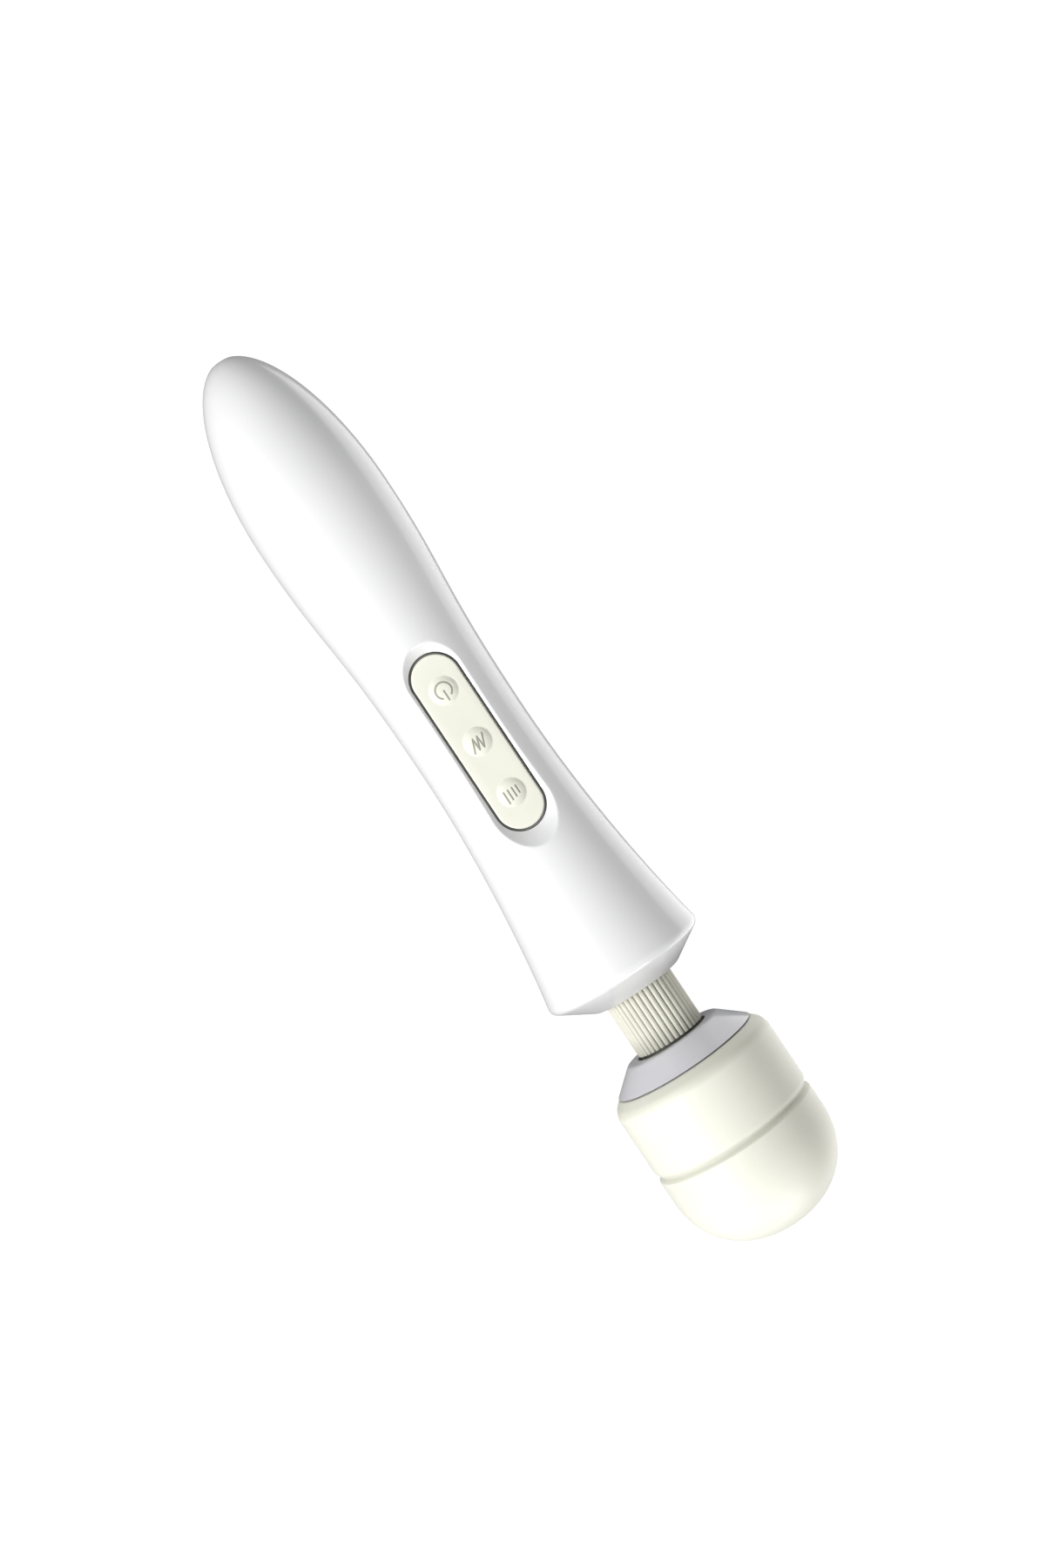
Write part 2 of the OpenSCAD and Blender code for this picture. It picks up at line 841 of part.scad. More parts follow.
module weight_screw() {
    color("dimgray") place(weight_start + weight_length / 2, 0, shaft_radius)
        cylinder(h = 2.6, r = 1, $fn = 32);
}

front_shell();
rear_shell();
shell_screws();
socket_bezel();
charge_jack();
jack_pin();
jack_board();
jack_leads();
battery_cells();
battery_straps();
battery_tray();
battery_foam();
battery_leads();
main_board();
board_screws();
controller_chip();
motor_driver();
capacitors();
cable_header();
tact_switches();
keypad_pad();
keypad_frame();
neck_base();
handle_cable();
button(-1);  // power_button
button(0);  // pattern_button
button(1);  // speed_button
switch_stem(-1);  // power_switch_stem
switch_stem(0);  // pattern_switch_stem
switch_stem(1);  // speed_switch_stem
neck_sleeve();
neck_spring();
cable_guide();
neck_cable();
head_collar();
neck_hub();
hub_screws();
head_housing();
housing_screws();
head_cap();
motor_can();
motor_end_cap();
motor_terminals();
motor_magnets();
motor_brushes();
front_bearing();
rear_bearing();
motor_mounts();
motor_shaft();
armature();
windings();
commutator();
eccentric_weight();
weight_screw();
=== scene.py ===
"""The looks of the cordless wand massager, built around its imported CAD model.

The wand lies along X with its head at +X and its keypad facing +Z. Lengths are metres.
"""

import json
import math

import bmesh
import bpy
import numpy as np
from mathutils import Matrix, Vector


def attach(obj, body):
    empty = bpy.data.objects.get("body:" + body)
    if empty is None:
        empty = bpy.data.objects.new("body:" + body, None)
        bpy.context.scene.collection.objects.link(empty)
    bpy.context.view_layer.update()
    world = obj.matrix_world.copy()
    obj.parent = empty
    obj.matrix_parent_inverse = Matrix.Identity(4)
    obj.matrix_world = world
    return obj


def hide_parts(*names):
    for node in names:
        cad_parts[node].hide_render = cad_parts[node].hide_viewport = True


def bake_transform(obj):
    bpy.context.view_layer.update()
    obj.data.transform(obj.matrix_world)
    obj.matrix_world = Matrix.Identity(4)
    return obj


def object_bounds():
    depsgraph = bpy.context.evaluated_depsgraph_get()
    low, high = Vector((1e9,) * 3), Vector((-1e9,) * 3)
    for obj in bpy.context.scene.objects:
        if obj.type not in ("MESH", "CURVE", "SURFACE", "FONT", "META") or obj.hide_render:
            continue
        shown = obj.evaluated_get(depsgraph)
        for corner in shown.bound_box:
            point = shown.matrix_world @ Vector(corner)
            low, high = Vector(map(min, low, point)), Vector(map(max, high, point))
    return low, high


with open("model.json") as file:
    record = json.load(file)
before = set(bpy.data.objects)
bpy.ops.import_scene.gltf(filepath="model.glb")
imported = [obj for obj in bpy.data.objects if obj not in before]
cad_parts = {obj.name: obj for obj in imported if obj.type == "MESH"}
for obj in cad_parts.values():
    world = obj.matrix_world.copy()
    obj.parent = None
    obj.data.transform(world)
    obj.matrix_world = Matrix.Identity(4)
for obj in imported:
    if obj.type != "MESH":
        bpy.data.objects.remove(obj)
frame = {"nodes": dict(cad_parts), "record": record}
cad_low, cad_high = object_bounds()
MM = 0.001
AXIS_Z = cad_high.z / 2

# ---------------------------------------------------------------- camera
CAMERA_DISTANCE = 644 * MM        # from the wand's axis
CAMERA_LEAN = math.radians(4.4)   # round the wand's axis, towards -Y
CAMERA_OFFSET_X = 0.6 * MM        # from the middle of the wand to the optical axis
CAMERA_OFFSET_Y = 5.94 * MM
CAMERA_HALF_ANGLE = math.radians(22.26018)    # of the picture's long side
WAND_TURN = math.radians(56.26)   # the wand's axis runs this far below the picture's horizontal


def make_camera():
    data = bpy.data.cameras.new("camera")
    camera = bpy.data.objects.new("camera", data)
    bpy.context.scene.collection.objects.link(camera)
    data.sensor_width = 36
    data.lens = data.sensor_width / 2 / math.tan(CAMERA_HALF_ANGLE)
    data.clip_start, data.clip_end = 0.01, 20
    back = Vector((0, -math.sin(CAMERA_LEAN), math.cos(CAMERA_LEAN)))
    along = Vector((1, 0, 0))
    across = back.cross(along)
    right = along * math.cos(WAND_TURN) + across * math.sin(WAND_TURN)
    up = back.cross(right)
    place = Vector((CAMERA_OFFSET_X, 0, AXIS_Z)) + across * CAMERA_OFFSET_Y + back * CAMERA_DISTANCE
    camera.matrix_world = Matrix.Translation(place) @ Matrix((right, up, back)).transposed().to_4x4()
    bpy.context.scene.camera = camera


make_camera()

# ---------------------------------------------------------------- materials

def add_node(tree, kind, inputs=None, **settings):
    """Adds a shader node. An input is a number, a colour or another node's output."""
    node = tree.nodes.new("ShaderNode" + kind)
    for key, value in settings.items():
        setattr(node, key, value)
    for key, value in (inputs or {}).items():
        if isinstance(value, bpy.types.NodeSocket):
            tree.links.new(value, node.inputs[key])
        else:
            node.inputs[key].default_value = value
    return node


def mix_colours(tree, share, first, second):
    node = add_node(tree, "Mix", data_type="RGBA")
    for socket, value in ((node.inputs[0], share), (node.inputs[6], first), (node.inputs[7], second)):
        if isinstance(value, bpy.types.NodeSocket):
            tree.links.new(value, socket)
        else:
            socket.default_value = value
    return node.outputs[2]


def rescale(tree, value, low, high, to_low, to_high):
    node = add_node(tree, "MapRange", {"Value": value, "From Min": low, "From Max": high,
                                       "To Min": to_low, "To Max": to_high})
    node.clamp = True
    return node.outputs[0]


def finish_material(name, colour, second, roughness, rough_change=0.05, patch=0.03, grain=0.0004,
                    grain_depth=0.00002, stretch=(1, 1, 1), edge=None, edge_share=0.35, ink=None, **shader):
    """A finish with patches of a second tint, fine grain in roughness and height, worn edges, and a second
    colour mixed in vertex by vertex: print on the keys, painted shade on the sleeve, collar and cap.
    """
    material = bpy.data.materials.new(name)
    material.use_nodes = True
    tree = material.node_tree
    bsdf = tree.nodes["Principled BSDF"]
    coordinates = add_node(tree, "TexCoord").outputs["Object"]
    stretched = add_node(tree, "Mapping", {"Vector": coordinates, "Scale": stretch}).outputs[0]
    patches = add_node(tree, "TexNoise", {"Vector": coordinates, "Scale": 1 / patch,
                                          "Detail": 4.0}).outputs[0]
    fine = add_node(tree, "TexNoise", {"Vector": stretched, "Scale": 1 / grain, "Detail": 2.0}).outputs[0]
    share = rescale(tree, patches, 0.35, 0.65, 0, 1)
    base = mix_colours(tree, share, (*colour, 1), (*second, 1))
    if edge:
        sharpness = add_node(tree, "NewGeometry").outputs["Pointiness"]
        worn = rescale(tree, sharpness, 0.52, 0.6, 0, edge_share)
        base = mix_colours(tree, worn, base, (*edge, 1))
    # a per-vertex share mixes in the second colour: the keys' printed icons, and painted shade on the sleeve,
    # collar and cap
    if ink:
        print_and_shade_share = add_node(tree, "Attribute", attribute_name="ink").outputs["Fac"]
        base = mix_colours(tree, print_and_shade_share, base, (*ink, 1))
    tree.links.new(base, bsdf.inputs["Base Color"])
    rough = rescale(tree, fine, 0.3, 0.7, roughness - rough_change, roughness + rough_change)
    tree.links.new(rough, bsdf.inputs["Roughness"])
    bump = add_node(tree, "Bump", {"Strength": 1.0, "Distance": grain_depth, "Height": fine})
    tree.links.new(bump.outputs[0], bsdf.inputs["Normal"])
    for socket, value in shader.items():
        bsdf.inputs[socket.replace("_", " ")].default_value = value
    return material


FINISHES = {
    # white_shell's second colour is painted shade: the collar takes it all over, as a darker copy of the
    # shell for the shade it sits in
    "white_shell": dict(colour=(0.9, 0.9, 0.905), second=(0.885, 0.887, 0.895), roughness=0.33,
                        rough_change=0.03, patch=0.05, grain=0.0009, grain_depth=0.000004,
                        ink=(0.64, 0.64, 0.67), Coat_Weight=0.6, Coat_Roughness=0.12),
    "bezel_plastic": dict(colour=(0.5, 0.5, 0.51), second=(0.46, 0.46, 0.47), roughness=0.4),
    "keypad_silicone": dict(colour=(0.9, 0.9, 0.79), second=(0.88, 0.88, 0.77), roughness=0.6,
                            grain=0.0003, grain_depth=0.00001, ink=(0.36, 0.36, 0.3)),
    # neck_silicone's second colour is painted shade, for the flutes' hollows and the sleeve beside the collar
    "neck_silicone": dict(colour=(0.72, 0.71, 0.61), second=(0.68, 0.67, 0.58), roughness=0.62,
                          grain=0.0003, grain_depth=0.00001, ink=(0.12, 0.12, 0.1)),
    # head_silicone's second colour is painted shade, for the groove and the cap's edge
    "head_silicone": dict(colour=(0.87, 0.87, 0.77), second=(0.85, 0.85, 0.75), roughness=0.5,
                          grain=0.0004, grain_depth=0.000012, ink=(0.5, 0.5, 0.41), Subsurface_Weight=0.3,
                          Subsurface_Radius=(1, 0.95, 0.8), Subsurface_Scale=0.005),
    "dark_rubber": dict(colour=(0.03, 0.03, 0.03), second=(0.05, 0.05, 0.05), roughness=0.7),
    "foam": dict(colour=(0.12, 0.12, 0.13), second=(0.2, 0.2, 0.2), roughness=0.95, grain=0.0012,
                 grain_depth=0.0003),
    "dark_plastic": dict(colour=(0.02, 0.02, 0.023), second=(0.03, 0.03, 0.03), roughness=0.5,
                         grain_depth=0.00003, edge=(0.1, 0.1, 0.1)),
    "grey_plastic": dict(colour=(0.5, 0.5, 0.5), second=(0.45, 0.45, 0.45), roughness=0.5),
    "nylon": dict(colour=(0.8, 0.78, 0.7), second=(0.74, 0.72, 0.64), roughness=0.45),
    "circuit_board": dict(colour=(0.01, 0.14, 0.05), second=(0.02, 0.2, 0.08), roughness=0.35,
                          patch=0.004, edge=(0.3, 0.28, 0.15)),
    "capacitor_can": dict(colour=(0.05, 0.06, 0.09), second=(0.08, 0.09, 0.12), roughness=0.35),
    "red_insulation": dict(colour=(0.5, 0.02, 0.015), second=(0.4, 0.015, 0.01), roughness=0.45),
    "black_insulation": dict(colour=(0.015, 0.015, 0.015), second=(0.03, 0.03, 0.03), roughness=0.45),
    "cell_wrap": dict(colour=(0.02, 0.1, 0.22), second=(0.03, 0.13, 0.27), roughness=0.3),
    "nickel": dict(colour=(0.62, 0.6, 0.55), second=(0.52, 0.5, 0.46), roughness=0.3, Metallic=1.0,
                   stretch=(0.1, 1, 1)),
    "brass_parts": dict(colour=(0.75, 0.55, 0.22), second=(0.62, 0.45, 0.18), roughness=0.3,
                        Metallic=1.0),
    "copper": dict(colour=(0.72, 0.3, 0.15), second=(0.55, 0.2, 0.1), roughness=0.35, Metallic=1.0,
                   grain=0.0005, grain_depth=0.0001, stretch=(0.15, 1, 1)),
    "steel": dict(colour=(0.55, 0.55, 0.54), second=(0.45, 0.45, 0.45), roughness=0.35, Metallic=1.0,
                  edge=(0.75, 0.75, 0.75)),
    "plated_steel": dict(colour=(0.6, 0.6, 0.58), second=(0.5, 0.5, 0.49), roughness=0.3,
                         Metallic=1.0, stretch=(1, 0.1, 0.1)),
    "weight_steel": dict(colour=(0.4, 0.4, 0.4), second=(0.3, 0.3, 0.3), roughness=0.45,
                         Metallic=1.0, edge=(0.65, 0.65, 0.65)),
    "laminated_iron": dict(colour=(0.12, 0.12, 0.125), second=(0.2, 0.19, 0.18), roughness=0.5,
                           Metallic=1.0, grain=0.0008, grain_depth=0.00008, stretch=(1, 0.02, 0.02)),
    "magnet": dict(colour=(0.04, 0.04, 0.045), second=(0.07, 0.07, 0.07), roughness=0.6),
    "carbon": dict(colour=(0.02, 0.02, 0.02), second=(0.04, 0.04, 0.04), roughness=0.5),
    "bearing_bronze": dict(colour=(0.45, 0.28, 0.12), second=(0.35, 0.2, 0.08), roughness=0.5,
                           Metallic=1.0),
}
finishes = {slot: finish_material(slot, **facts) for slot, facts in FINISHES.items()}


def paint(piece, slot):
    piece.data.materials.clear()
    piece.data.materials.append(finishes[slot])


for part in frame["record"]["subparts"]:
    node = frame["nodes"][part["node"]]
    paint(node, part["material_slot"])
    node.data.shade_smooth()

# ---------------------------------------------------------------- meshes
# Outlines are lists of (distance from the tail, radius) in mm. Loose points are (x, y, z) in mm,
# x from the tail and z from the wand's axis.
SHARP_ANGLE = math.radians(32)


def to_frame(x, y, z):
    return (x * MM + cad_low.x, y * MM, z * MM + AXIS_Z)


def make_piece(name, vertices, faces, slot, *replaced):
    """A smooth mesh piece with its finish, which stands for CAD nodes."""
    mesh = bpy.data.meshes.new(name)
    mesh.from_pydata([to_frame(*point) for point in vertices], [], faces)
    work = bmesh.new()
    work.from_mesh(mesh)
    bmesh.ops.recalc_face_normals(work, faces=work.faces)
    work.to_mesh(mesh)
    work.free()
    piece = bpy.data.objects.new(name, mesh)
    bpy.context.scene.collection.objects.link(piece)
    smooth(mesh)
    if slot:
        paint(piece, slot)
        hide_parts(*replaced)
    return piece


def smooth(mesh):
    mesh.shade_smooth()
    mesh.set_sharp_from_angle(angle=SHARP_ANGLE)


def cut(piece, cutter):
    """Takes the cutter's solid out of the piece, and removes the cutter."""
    change = piece.modifiers.new("cut", "BOOLEAN")
    change.operation, change.solver, change.object = "DIFFERENCE", "EXACT", cutter
    mesh = bpy.data.meshes.new_from_object(piece.evaluated_get(bpy.context.evaluated_depsgraph_get()))
    piece.modifiers.clear()
    piece.data = mesh
    bpy.data.objects.remove(cutter)
    smooth(mesh)


def loft(rings):
    """Skins rings of equally many points, and closes the first and the last with one face each."""
    count = len(rings[0])
    faces = [(a + i, a + (i + 1) % count, b + (i + 1) % count, b + i)
             for a, b in ((k * count, k * count + count) for k in range(len(rings) - 1))
             for i in range(count)]
    last = (len(rings) - 1) * count
    return [point for ring in rings for point in ring], faces + [tuple(range(count)),
                                                                 tuple(range(last, last + count))]


def lathe(outline, sides, half=False, reshape=None):
    """Turns a closed outline about the wand's axis, the whole way or only over the front half."""
    count = sides // 2 + 1 if half else sides
    angles = [2 * math.pi * i / sides - math.pi / 2 for i in range(count)]
    vertices, faces, rings = [], [], []
    for u, radius in outline:
        ring = []
        for angle in angles if radius > 0 else angles[:1]:
            r = reshape(u, radius, angle) if reshape else radius
            ring.append(len(vertices))
            vertices.append((u, r * math.sin(angle), r * math.cos(angle)))
        rings.append(ring)
    for ring, following in zip(rings, rings[1:] + rings[:1]):
        for i in range(count - half):
            corners = ((ring, i), (ring, i + 1), (following, i + 1), (following, i))
            face = list(dict.fromkeys(r[k % len(r)] for r, k in corners))
            if len(face) > 2:
                faces.append(face)
    if half:
        faces += [[ring[0] for ring in rings], [ring[-1] for ring in rings]]
    return vertices, faces


def rounded(corners, steps=5):
    """An outline through (from the tail, radius, cut) corners, each rounded off over its cut."""
    points = [Vector(corner[:2]) for corner in corners]
    outline = []
    for i, (point, corner) in enumerate(zip(points, corners)):
        before, after = points[i - 1], points[(i + 1) % len(points)]
        first = point + (before - point).normalized() * corner[2]
        last = point + (after - point).normalized() * corner[2]
        if corner[2] == 0:
            outline.append(tuple(point))
            continue
        for k in range(steps + 1):
            t = k / steps
            outline.append(tuple(first * (1 - t) ** 2 + point * 2 * t * (1 - t) + last * t * t))
    return outline


def smoothstep(value, low, high):
    t = np.clip((value - low) / (high - low), 0, 1)
    return t * t * (3 - 2 * t)


def add_print_and_shade(piece, shares):
    """Darkens the finish, vertex by vertex: printed icons on the keys, painted shade on the sleeve, collar
    and cap.
    """
    ink = piece.data.attributes.new("ink", "FLOAT", "POINT")
    ink.data.foreach_set("value", np.asarray(shares, np.float32))


def circle(x, z, radius, count=96):
    return [(x + radius * math.cos(a), radius * math.sin(a), z)
            for a in (2 * math.pi * i / count for i in range(count))]


# ---------------------------------------------------------------- handle
HANDLE_LENGTH = 251.2
BULGE = (62, 24.75)               # from the tail, radius
WAIST = (151.7, 20.7)
BULGE_REACH = 37                  # of the curves' level handles beside the bulge and the waist
WAIST_REACH = (52, 48)
TAIL_RADIUS = 4.8
LIP_ROUNDING = 3
LIP_RADIUS = 29.2
LIP_LEAD = math.radians(12)
NOSE_LENGTH = 7
NOSE_SLOPE = 1.63                 # radius lost for each mm along the nose cone
NOSE_NORMAL = math.atan(1 / NOSE_SLOPE)
NOSE_TIP_RADIUS = 16.4
NOSE_BORE = 13.3
FLANGE_SEAT = (244.6, 248, 17)    # start, end, radius
CAVITY_END = (241, 24.2)          # from the tail, radius
LIP_U = HANDLE_LENGTH - NOSE_LENGTH - LIP_ROUNDING * math.cos(NOSE_NORMAL)
LIP_R = LIP_RADIUS - LIP_ROUNDING
SHELL_WALL = 2.2
SHELL_SPLIT = 0.05                # from the middle plane to the front shell's edge
TAIL_BORE = 4.2                   # its radius, and its length
PAD_U = 153.6
PAD_LENGTH, PAD_WIDTH, PAD_GAP = 65.4, 16.3, 0.9
PAD_FACE = 17.65
PAD_BOTTOM = 14.95
POCKET_FLOOR = 17.4
POCKET_SLOPES = (0.8, 1.2)        # widening for each mm up, at the tail's end and at the head's
POCKET_DEPTH_LIMIT = 8
RIM_ROUNDING = 0.5
CUTTER_BOTTOM, CUTTER_TOP = 9, 34
UNDER_POCKET = 1.2                # of wall under the pocket's floor
UNDER_POCKET_REACH = 11.7         # where that wall starts to rise, from the pad's middle line
UNDER_POCKET_SLOPE = 2
UNDER_POCKET_ANGLE = 1.1          # from straight up, in radians


def curve(p0, p1, p2, p3, steps):
    points = [Vector(p) for p in (p0, p1, p2, p3)]
    outline = []
    for i in range(1, steps + 1):
        t = i / steps
        weights = ((1 - t) ** 3, 3 * (1 - t) ** 2 * t, 3 * (1 - t) * t * t, t ** 3)
        outline.append(tuple(sum((p * w for p, w in zip(points, weights)), Vector((0, 0)))))
    return outline


def grip_outline(inset, steps):
    """The grip's outline from the tail to the lip, as in the CAD model."""
    start = math.asin(TAIL_RADIUS / BULGE[1])
    semi_axis = BULGE[0] / math.cos(start)
    bulge, waist = (BULGE[0], BULGE[1] - inset), (WAIST[0], WAIST[1] - inset)
    lead = (LIP_U - (LIP_ROUNDING - inset) * math.sin(LIP_LEAD),
            LIP_R + (LIP_ROUNDING - inset) * math.cos(LIP_LEAD))
    angles = [start + (math.pi / 2 - start) * i / steps for i in range(steps + 1)]
    return ([(BULGE[0] - (semi_axis - inset) * math.cos(a), bulge[1] * math.sin(a)) for a in angles]
            + curve(bulge, (bulge[0] + BULGE_REACH, bulge[1]), (waist[0] - WAIST_REACH[0], waist[1]), waist,
                    steps)
            + curve(waist, (waist[0] + WAIST_REACH[1], waist[1]), lead, lead, steps))


def from_pad_line(x, y):
    """Distance from the straight line between the centres of the pad's round ends."""
    half_run = (PAD_LENGTH - PAD_WIDTH) / 2
    return math.hypot(max(abs(x - PAD_U) - half_run, 0), y)


def make_grip_front():
    """The front shell. Its inner side dips under the pocket, which is then cut."""
    outer = grip_outline(0, 44)
    for i in range(1, 13):
        angle = -LIP_LEAD + (LIP_LEAD + math.pi / 2 - NOSE_NORMAL) * i / 12
        outer.append((LIP_U + LIP_ROUNDING * math.sin(angle), LIP_R + LIP_ROUNDING * math.cos(angle)))
    seat_start, seat_end, seat_radius = FLANGE_SEAT
    bore = rounded([(*outer[-1], 0), (HANDLE_LENGTH, NOSE_TIP_RADIUS, 0.8), (HANDLE_LENGTH, NOSE_BORE, 0.2),
                    (seat_end, NOSE_BORE, 0), (seat_end, seat_radius, 0), (seat_start, seat_radius, 0),
                    (seat_start, NOSE_BORE, 0), (CAVITY_END[0], NOSE_BORE, 0), (*CAVITY_END, 0)])[1:]
    inner = [point for point in grip_outline(SHELL_WALL, 60)
             if TAIL_BORE + 0.1 < point[0] < CAVITY_END[0] - 3]
    tail = [(TAIL_BORE, TAIL_BORE), (0, TAIL_BORE)]

    def reshape(u, radius, angle):
        if radius not in inner_radii or abs(angle) > UNDER_POCKET_ANGLE:
            return radius
        beyond = max(0, from_pad_line(u, radius * math.sin(angle)) - UNDER_POCKET_REACH)
        allowed = POCKET_FLOOR - UNDER_POCKET + UNDER_POCKET_SLOPE * beyond
        return min(radius, allowed / math.cos(angle))

    inner_radii = {radius for u, radius in inner}
    vertices, faces = lathe(outer + bore + inner[::-1] + tail, 192, True, reshape)
    vertices = [(x, y, max(z, SHELL_SPLIT)) for x, y, z in vertices]
    grip = make_piece("grip_front", vertices, faces, "white_shell", "front_shell")
    cut(grip, make_pocket([point[0] for point in outer], [point[1] for point in outer]))
    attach(grip, "handle")


def make_pocket(outline_u, outline_r):
    """The cutter of the keypad's pocket: an upright opening, sloped walls and a rounded rim."""
    half_run = (PAD_LENGTH - PAD_WIDTH) / 2
    mouth = PAD_WIDTH / 2 + PAD_GAP

    def surface(x, y):
        return math.sqrt(np.interp(x, outline_u, outline_r) ** 2 - y * y)

    # a column of points for each (centre on the pad's line, direction in degrees) round the pocket
    columns = [(-half_run, 90 + 3 * i) for i in range(61)] + \
              [(-half_run + 2 * half_run * i / 24, 270) for i in range(1, 24)] + \
              [(half_run, 270 + 3 * i) for i in range(61)] + \
              [(half_run - 2 * half_run * i / 24, 90) for i in range(1, 24)]
    rings = []
    for centre, degrees in columns:
        along, across = math.cos(math.radians(degrees)), math.sin(math.radians(degrees))
        share = (centre + half_run) / (2 * half_run)
        slope = POCKET_SLOPES[0] * (1 - share) + POCKET_SLOPES[1] * share

        def at(reach, z):
            return (PAD_U + centre + along * reach, across * reach, z)

        # the interval in which the sloped wall meets the grip's surface is halved again and again
        low, high = 0, POCKET_DEPTH_LIMIT
        for _ in range(30):
            rise = (low + high) / 2
            x, y, z = at(mouth + slope * rise, POCKET_FLOOR + rise)
            low, high = (rise, high) if z < surface(x, y) else (low, rise)
        wall_end = rise - RIM_ROUNDING / math.hypot(1, slope)
        reach = mouth + slope * rise
        x, y, _ = at(reach + RIM_ROUNDING, 0)
        p0 = Vector(at(mouth + slope * wall_end, POCKET_FLOOR + wall_end))
        p1 = Vector(at(reach, POCKET_FLOOR + rise))
        p2 = Vector((x, y, surface(x, y) + 0.02))
        column = [at(mouth, CUTTER_BOTTOM), at(mouth, POCKET_FLOOR)]
        column += [p0 * (1 - t) ** 2 + p1 * 2 * t * (1 - t) + p2 * t * t for t in (k / 6 for k in range(7))]
        outside = reach + RIM_ROUNDING + 0.3
        column += [at(outside, p2.z + 0.6), at(outside, CUTTER_TOP)]
        rings.append([tuple(point) for point in column])
    return make_piece("pocket", *loft([list(ring) for ring in zip(*rings)]), None)


make_grip_front()

# ---------------------------------------------------------------- keypad
KEY_PITCH = 20
KEY_HOLE = 5.5
KEY_RADIUS = 4.85
KEY_CROWN = 1.35                  # over the pad's face, which the dome would meet at KEY_RADIUS
KEY_SKIN = 0.6
KEY_TOP_POWER = 3.0
KEY_FOOT_SOFTNESS = 0.12
KEY_RINGS = ((KEY_HOLE, 3.8, 22), (3.7, 0.05, 38))    # first radius, last radius, count
CORE_RADIUS, CORE_CHAMFER, CORE_TOP = 4.5, 0.3, 16.9
STEM_TOP = 13.3
ICON_DEPTH = 0.14
ICON_HALF_WIDTH = 0.3
PAD_EDGE = 0.6


def make_pad():
    """The silicone pad, with a round upper edge and a hole for each key's web."""
    half_run = (PAD_LENGTH - PAD_WIDTH) / 2
    rows = [(0, PAD_BOTTOM), (0, PAD_FACE - PAD_EDGE)]
    rows += [(PAD_EDGE * (1 - math.cos(a)), PAD_FACE - PAD_EDGE * (1 - math.sin(a)))
             for a in (math.pi / 2 * i / 6 for i in range(1, 7))]
    rings = []
    for inset, z in rows:
        ring = []
        for i in range(128):
            angle = 2 * math.pi * (i + 0.5) / 128
            end = half_run if math.cos(angle) > 0 else -half_run
            reach = PAD_WIDTH / 2 - inset
            ring.append((PAD_U + end + reach * math.cos(angle), reach * math.sin(angle), z))
        rings.append(ring)
    pad = make_piece("pad_skin", *loft(rings), "keypad_silicone", "keypad_pad")
    for i in (-1, 0, 1):
        u = PAD_U + i * KEY_PITCH
        hole = [circle(u, PAD_BOTTOM - 1, KEY_HOLE), circle(u, PAD_FACE + 1, KEY_HOLE)]
        cut(pad, make_piece("hole", *loft(hole), None))
    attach(pad, "handle")


def from_lines(points, lines):
    """Distance of each point from the nearest of some lines, each a list of (x, y) corners."""
    nearest = np.full(len(points), 1e9)
    for line in lines:
        for start, end in zip(line, line[1:]):
            start, run = np.array(start), np.array(end) - np.array(start)
            t = np.clip((points - start) @ run / (run @ run), 0, 1)
            nearest = np.minimum(nearest, np.linalg.norm(points - start - t[:, None] * run, axis=1))
    return nearest


def arc(radius, first, last, steps=40):
    angles = [math.radians(first + (last - first) * i / steps) for i in range(steps + 1)]
    return [(radius * math.cos(a), radius * math.sin(a)) for a in angles]


# each sign's lines in the plane of its key, in mm, x towards the head
ICONS = {
    "power": [arc(2.8, 37, 323), [(0.15, 0), (3.55, 0)]],
    "pattern": [[(-1.71, 2.76), (2.7, 0.97), (-1.57, 0.63), (2.7, -0.8), (-1.48, -1.03), (3.0, -2.85)]],
    "speed": [[(-1.3, y), (x, y)] for x, y in ((1.4, 2.28), (1.94, 0.8), (2.3, -0.8), (2.85, -2.36))],
}


def make_key(name, u):
    """A domed key that the pad's skin runs into; its core moves with the stem."""
    count = 180
    radii = np.concatenate([np.linspace(*rings) for rings in KEY_RINGS])

    def height(r):
        """The skin's height over the pad's face: a dome that runs softly into the flat web."""
        dome = KEY_CROWN * (1 - (r / KEY_RADIUS) ** KEY_TOP_POWER)
        rim = KEY_CROWN * (1 - (KEY_HOLE / KEY_RADIUS) ** KEY_TOP_POWER)
        return (dome + np.hypot(dome, KEY_FOOT_SOFTNESS) - rim - np.hypot(rim, KEY_FOOT_SOFTNESS)) / 2

    under = [circle(u, PAD_FACE + height(r) - KEY_SKIN, r, count) for r in radii[::-4]]
    under.append(circle(u, PAD_FACE - KEY_SKIN, KEY_HOLE, count))
    top = [circle(u, PAD_FACE + height(r), r, count) for r in radii]
    vertices, faces = loft(under + top)
    points = np.array(vertices)
    depth = 1 - smoothstep(from_lines(points[:, :2] - (u, 0), ICONS[name]), ICON_HALF_WIDTH * 0.6,
                           ICON_HALF_WIDTH * 1.4)
    depth[:len(under) * count] = 0
    points[:, 2] -= depth * ICON_DEPTH
    key = make_piece(name + "_dome", points.tolist(), faces, "keypad_silicone", name + "_button")
    add_print_and_shade(key, depth)
    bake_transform(key)
    end_radius = CORE_RADIUS - CORE_CHAMFER
    core = [circle(u, STEM_TOP, end_radius), circle(u, STEM_TOP + CORE_CHAMFER, CORE_RADIUS),
            circle(u, CORE_TOP - CORE_CHAMFER, CORE_RADIUS), circle(u, CORE_TOP, end_radius)]
    core = make_piece(name + "_core", *loft(core), "keypad_silicone", name + "_button")
    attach(core, name + "_key")


make_pad()
for name, place in (("power", -1), ("pattern", 0), ("speed", 1)):
    make_key(name, PAD_U + place * KEY_PITCH)

